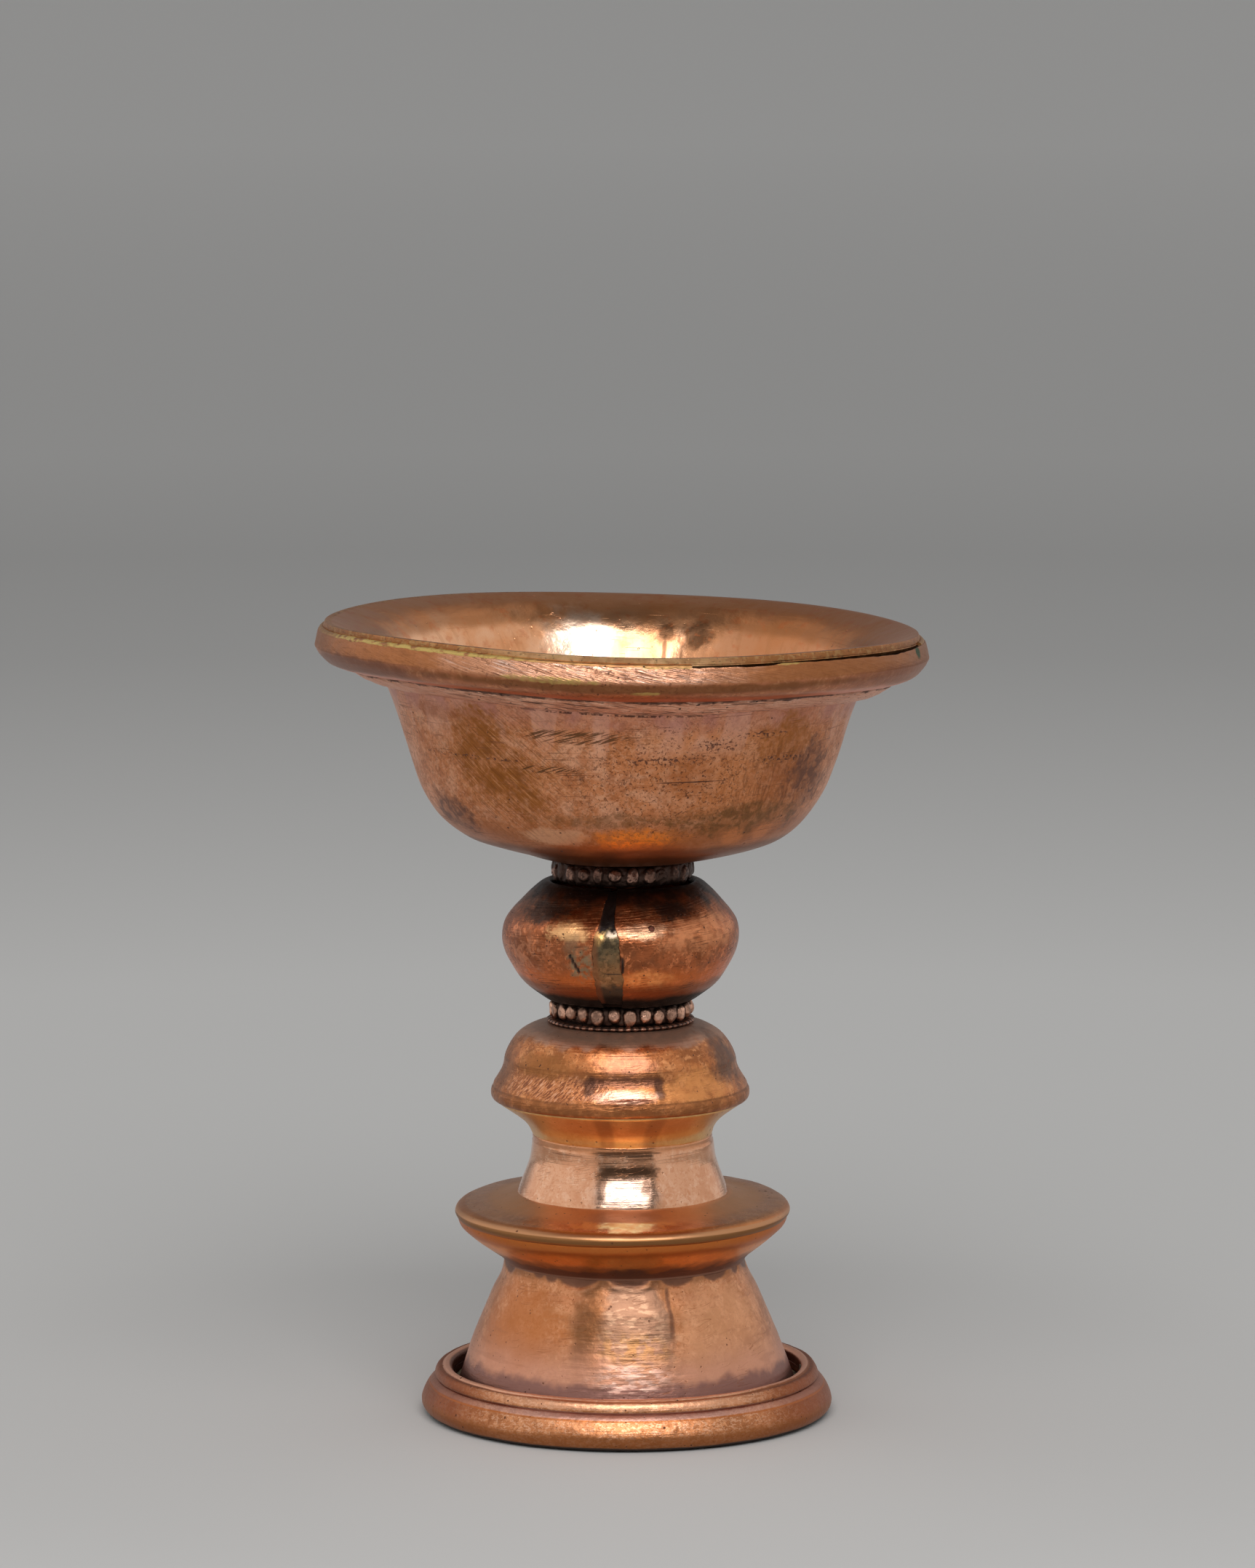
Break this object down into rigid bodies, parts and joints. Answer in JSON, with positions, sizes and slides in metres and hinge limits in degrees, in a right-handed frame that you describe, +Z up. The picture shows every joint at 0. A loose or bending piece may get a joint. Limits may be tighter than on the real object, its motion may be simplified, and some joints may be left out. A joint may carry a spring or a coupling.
{
  "type": "butter lamp",
  "caption": "Small copper butter lamp: flared bowl with a wick socket on a knopped stem and a conical ringed foot, raised from sheet and brazed together.",
  "frame": {"origin": "on the table, in the middle of the foot ring", "axes": "+Z up along the stem, -Y towards the front, where the knop's upright seam is, and +X to the right seen from there"},
  "size_m": [0.0524, 0.0524, 0.0683],
  "materials": {
    "bowl_copper": "satin copper, scratched, with olive and brown patches of tarnish",
    "band_copper": "filed copper with fine slanting scratches",
    "brass_filler": "dull yellow brazing brass",
    "black_copper": "blackened copper with bare high spots",
    "bead_copper": "worn copper beads on a blackened ground",
    "knop_copper": "glossy red-brown copper, blackened towards the top",
    "dome_copper": "glossy brown copper, darker towards the neck",
    "underside_copper": "glossy orange copper",
    "waist_copper": "polished pale copper",
    "disc_copper": "polished orange-brown copper with a bright edge",
    "cone_copper": "satin copper, faintly rippled, purple-brown near the ring",
    "ring_copper": "polished red copper, dark in the grooves",
    "grey_filler": "grey-green brazing residue",
    "socket_copper": "brown copper"
  },
  "bodies": {
    "root": {"foot_ring": "ring_copper", "foot_bead": "ring_copper", "foot_braze": "grey_filler", "foot_cone": "cone_copper", "disc_underside": "underside_copper", "disc_top_plate": "disc_copper", "waist_sleeve": "waist_copper", "shoulder_underside": "underside_copper", "shoulder_dome": "dome_copper", "lower_collar_sleeve": "black_copper", "lower_milled_wire": "bead_copper", "lower_beaded_wire": "bead_copper", "knop": "knop_copper", "knop_seam_braze": "brass_filler", "upper_collar_sleeve": "black_copper", "upper_beaded_wire": "black_copper", "bowl": "bowl_copper", "rim_band": "band_copper", "rim_underwire": "band_copper", "rim_braze": "brass_filler", "wick_socket": "socket_copper"}
  },
  "joints": []
}
